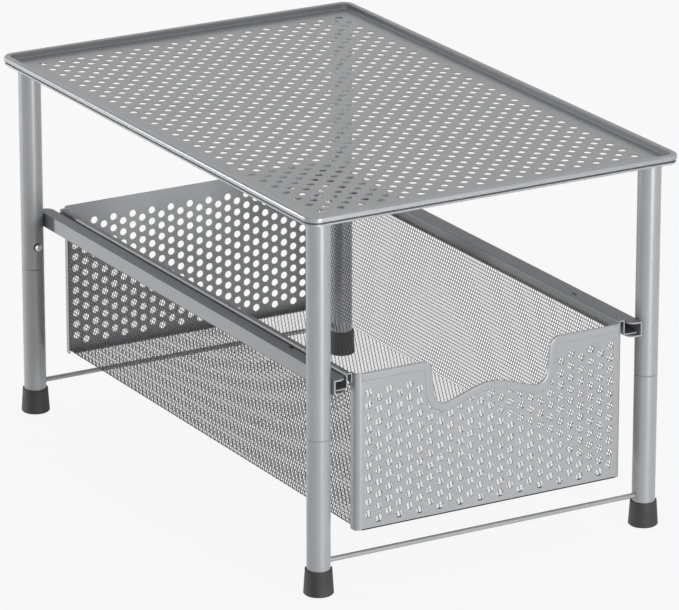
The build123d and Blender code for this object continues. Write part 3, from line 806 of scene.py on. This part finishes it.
# %% Netting sizes
mesh_low, mesh_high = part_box("drawer_mesh")
side_wire, floor_wire, straight_wire = 0.18 * mm, 0.25 * mm, 0.23 * mm
pitch, fold, inset, lowest_row = 1.375 * mm, 1.5 * mm, 0.4 * mm, 1 * mm
side_stretch, floor_stretch = 0.2 * mm, -0.3 * mm
side_flatness, floor_flatness, touch_share = 0.9, 0.45, 0.85
out_x, low_z, top_z = mesh_high[0] - inset, mesh_low[2] + inset, mesh_high[2]
floor_x = out_x - fold
net_sizes = {
    "Length": mesh_high[1] - mesh_low[1], "Rib middle": (mesh_low[1] + mesh_high[1]) / 2,
    "Rib pitch": 119.3 * mm, "Rib length": 137 * mm, "Rib width": 9 * mm, "Rib rise": 1.4 * mm,
    "Floor": low_z + 5 * mm,
}
print("netting is", round(2 * out_x / mm, 1), "mm wide and", round((top_z - low_z) / mm, 1), "mm high")


# %% Straight wires along the sides
def cross_wires(x, highest, step):
    """Straight wires that run along a side at every turn of the upright ones."""
    quarter_turns = [quarter * math.pi / 2 for quarter in range(4)]
    square = [(straight_wire * math.cos(turn), straight_wire * math.sin(turn)) for turn in quarter_turns]
    upright_to_long = Matrix.Rotation(math.radians(-90), 4, "X")
    rows = math.floor((highest - low_z - lowest_row) / step) + 1
    meshes = []
    for row in range(rows):
        wire_mesh = prism(square, mesh_low[1], mesh_high[1])
        wire_mesh.transform(Matrix.Translation((x, 0, highest - row * step)) @ upright_to_long)
        meshes.append(wire_mesh)
    return meshes


def side_net(name, side, *stands_for):
    """One side of the trough, with its fold, from a line down the side and into the floor."""
    flat_line = rounded([(out_x, top_z), (out_x, low_z), (floor_x, low_z)], [fold])
    line = line_curve(name, [(side * x, mesh_low[1], z) for x, z in flat_line])
    upright_wires = grow(netting, line, {
        **net_sizes, "Pitch": pitch, "Lengthwise": 0, "Wire radius": side_wire, "Stretch": side_stretch,
        "Bend": pitch / 2 - side_wire * touch_share, "Flatness": side_flatness,
    }, painted_shade_wire)
    meshes = [upright_wires] + cross_wires(side * out_x, top_z - 1.5 * pitch, 2 * pitch)
    finished_piece(name, meshes, "drawer", "mesh_coat", painted_shade_wire, *stands_for)


side_net("net_side_right", 1, "drawer_mesh")
side_net("net_side_left", -1)

# %% [markdown]
# The floor's two halves meet in the middle between two wires that touch, so each half has an even
# number of wires, and the pitch is changed a little to fit. Then it is made smaller by a hair, so
# that rounding never loses the last wire.

# %% Floor netting
half_wires = 2 * round((floor_x / pitch + 0.5) / 2)
fitted_pitch = floor_x / (half_wires - 0.5)
hair_share = 0.9995
floor_pitch = fitted_pitch * hair_share


def floor_net(name, side):
    """One half of the trough's floor."""
    ends = [(side * fitted_pitch / 2, mesh_low[1], low_z), (side * floor_x, mesh_low[1], low_z)]
    floor_wires = grow(netting, line_curve(name, ends), {
        **net_sizes, "Pitch": floor_pitch, "Lengthwise": 1, "Wire radius": floor_wire,
        "Stretch": floor_stretch, "Bend": floor_pitch / 2 - floor_wire * touch_share,
        "Flatness": floor_flatness,
    }, painted_shade_wire)
    finished_piece(name, [floor_wires], "drawer", "mesh_coat", painted_shade_wire)


floor_net("net_floor_right", 1)
floor_net("net_floor_left", -1)

# %% [markdown]
# ## Painted shadow round every snap button
#
# A button has a little play in its hole. From outside, the shadow in that play shows as a thin dark
# ring on the tube. Here that shadow is painted as a thin ring in the black rubber finish, laid on the
# tube, and each ring follows the tube's round wall on the side that its button faces.


# %% Painted shadows round the snap buttons
ring_inner, ring_outer, ring_steps = 2.56 * mm, 3.1 * mm, 48
ring_low, ring_high = 0.03 * mm, 0.1 * mm
ring_section = [
    (ring_inner, ring_low), (ring_inner, ring_high), (ring_outer, ring_high), (ring_outer, ring_low),
]
ring_sides = len(ring_section)


def painted_shadow_ring(leg, facing):
    """A ring of painted shadow on a leg's wall round its snap button, which faces the rear (1) or the front
    (-1).
    """
    button_low, button_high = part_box("snap_button_" + leg)
    leg_low, leg_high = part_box("upper_leg_" + leg)
    middle_x, middle_y = (leg_low[0] + leg_high[0]) / 2, (leg_low[1] + leg_high[1]) / 2
    height, wall = (button_low[2] + button_high[2]) / 2, (leg_high[0] - leg_low[0]) / 2
    points, faces = [], []
    for step in range(ring_steps):
        turn = 2 * math.pi * step / ring_steps
        for radius, rise in ring_section:
            across = radius * math.cos(turn)
            depth = math.sqrt((wall + rise) ** 2 - across ** 2)
            points.append((middle_x + across, middle_y + facing * depth, height + radius * math.sin(turn)))
        here, after = step * ring_sides, (step + 1) % ring_steps * ring_sides
        for side in range(ring_sides):
            next_side = (side + 1) % ring_sides
            faces.append((here + side, here + next_side, after + next_side, after + side))
    ring = bpy.data.meshes.new("button_gap_" + leg)
    ring.from_pydata(points, [], faces)
    # The black rubber finish makes this ring painted shadow, not a part of the leg.
    finished_piece("button_gap_" + leg, [ring], "stand", "foot_rubber", rubber)


for leg in ("front_left", "front_right", "rear_left", "rear_right"):
    painted_shadow_ring(leg, 1 if leg.startswith("front") else -1)

# %% [markdown]
# ## Floor, background and light
#
# The object stands on a plain, nearly white floor in front of white. What the camera, and a mirror
# or glass, sees past the floor is white, while the light from all round is softer than that, so
# the object keeps its shading and the floor keeps its shadow. A low light in front of the drawer
# puts the bright line down the legs. A second one behind on the left gives their other edge, and a
# large, weak one overhead lights the tray. Because the first two stand low, the rails' roofs and
# the tray stay darker than the upright faces.


# %% Helper for what is seen directly
def seen_by_eye(tree):
    """1 for what the camera, a mirror or glass sees, and 0 for light that falls on things."""
    path = node(tree, "ShaderNodeLightPath").outputs
    mirrored = sum_of(tree, "MAXIMUM", path["Is Glossy Ray"], path["Is Transmission Ray"])
    return sum_of(tree, "MAXIMUM", path["Is Camera Ray"], mirrored)


print("helper ready:", seen_by_eye.__name__)

# %% Floor
lift_share, reach = 0.9, 6.0
floor_material = bpy.data.materials.new("pale_floor")
floor_material.use_nodes = True
tree = floor_material.node_tree
floor_shader = tree.nodes["Principled BSDF"]
floor_shader.inputs["Base Color"].default_value = (0.9, 0.9, 0.9, 1.0)
floor_shader.inputs["Roughness"].default_value = 0.7
lift = sum_of(tree, "MULTIPLY", seen_by_eye(tree), lift_share)
paper = node(tree, "ShaderNodeEmission", {"Color": (1.0, 1.0, 1.0, 1.0), "Strength": 1.0}).outputs[0]
shaded = node(tree, "ShaderNodeMixShader", {0: lift, 1: floor_shader.outputs[0], 2: paper}).outputs[0]
tree.links.new(shaded, tree.nodes["Material Output"].inputs["Surface"])
floor_sheet = bpy.data.meshes.new("studio_floor")
floor_corners = [(-reach, -reach, 0), (reach, -reach, 0), (reach, reach, 0), (-reach, reach, 0)]
floor_sheet.from_pydata(floor_corners, [], [(0, 1, 2, 3)])
floor_sheet.materials.append(floor_material)
studio_floor = bpy.data.objects.new("studio_floor", floor_sheet)
scene.collection.objects.link(studio_floor)
print("floor is", 2 * reach, "m across")

# %% World
dome_strength = 0.25
world = bpy.data.worlds.new("studio")
scene.world = world
world.use_nodes = True
tree = world.node_tree
tree.nodes.clear()
dome = node(tree, "ShaderNodeBackground", {"Color": (0.97, 0.98, 1.0, 1.0), "Strength": dome_strength})
white = node(tree, "ShaderNodeBackground", {"Color": (1.0, 1.0, 1.0, 1.0), "Strength": 1.0})
mixed = node(tree, "ShaderNodeMixShader", {0: seen_by_eye(tree), 1: dome.outputs[0], 2: white.outputs[0]})
node(tree, "ShaderNodeOutputWorld", {"Surface": mixed.outputs[0]})
print("world is", world.name)


# %% Lights
looked_at = Vector((0, 0, 0.12))


def softbox(name, place, width, height, power):
    """A rectangular area light that looks at the middle of the object."""
    lamp = bpy.data.lights.new(name, "AREA")
    lamp.shape = "RECTANGLE"
    lamp.size, lamp.size_y = width, height
    lamp.energy = power
    holder = bpy.data.objects.new(name, lamp)
    holder.location = place
    aim = looked_at - Vector(place)
    holder.rotation_euler = aim.to_track_quat("-Z", "Y").to_euler()
    scene.collection.objects.link(holder)


softbox("front_light", (0.1, -2.4, 0.16), 0.22, 0.26, 44)
softbox("side_light", (-1.9, 1.9, 0.17), 0.28, 0.28, 45)
softbox("top_light", (0.3, 0.4, 2.4), 2.2, 2.2, 6)

# %% [markdown]
# ## Camera
#
# A long lens from well back keeps the sides of the stand almost parallel. It stands 30 degrees to
# the left of the drawer's front and looks down by nearly 19 degrees.

# %% Camera
turn, tilt = math.radians(-30.04), math.radians(18.711)
camera_place = Vector((-1.7572, -3.0511, 1.3110))
lens = bpy.data.cameras.new("product_camera")
lens.sensor_width, lens.lens = 36.0, 284.1
camera = bpy.data.objects.new("product_camera", lens)
right = Vector((math.cos(turn), math.sin(turn), 0))
backwards = Vector((math.sin(turn) * math.cos(tilt), -math.cos(turn) * math.cos(tilt), math.sin(tilt)))
up = backwards.cross(right)
aimed = Matrix((right, up, backwards)).transposed().to_4x4()
camera.matrix_world = Matrix.Translation(camera_place) @ aimed
scene.collection.objects.link(camera)
scene.camera = camera
scene.view_settings.view_transform = "Standard"
print("camera is", round(camera_place.length, 2), "m from the middle of the stand's foot")
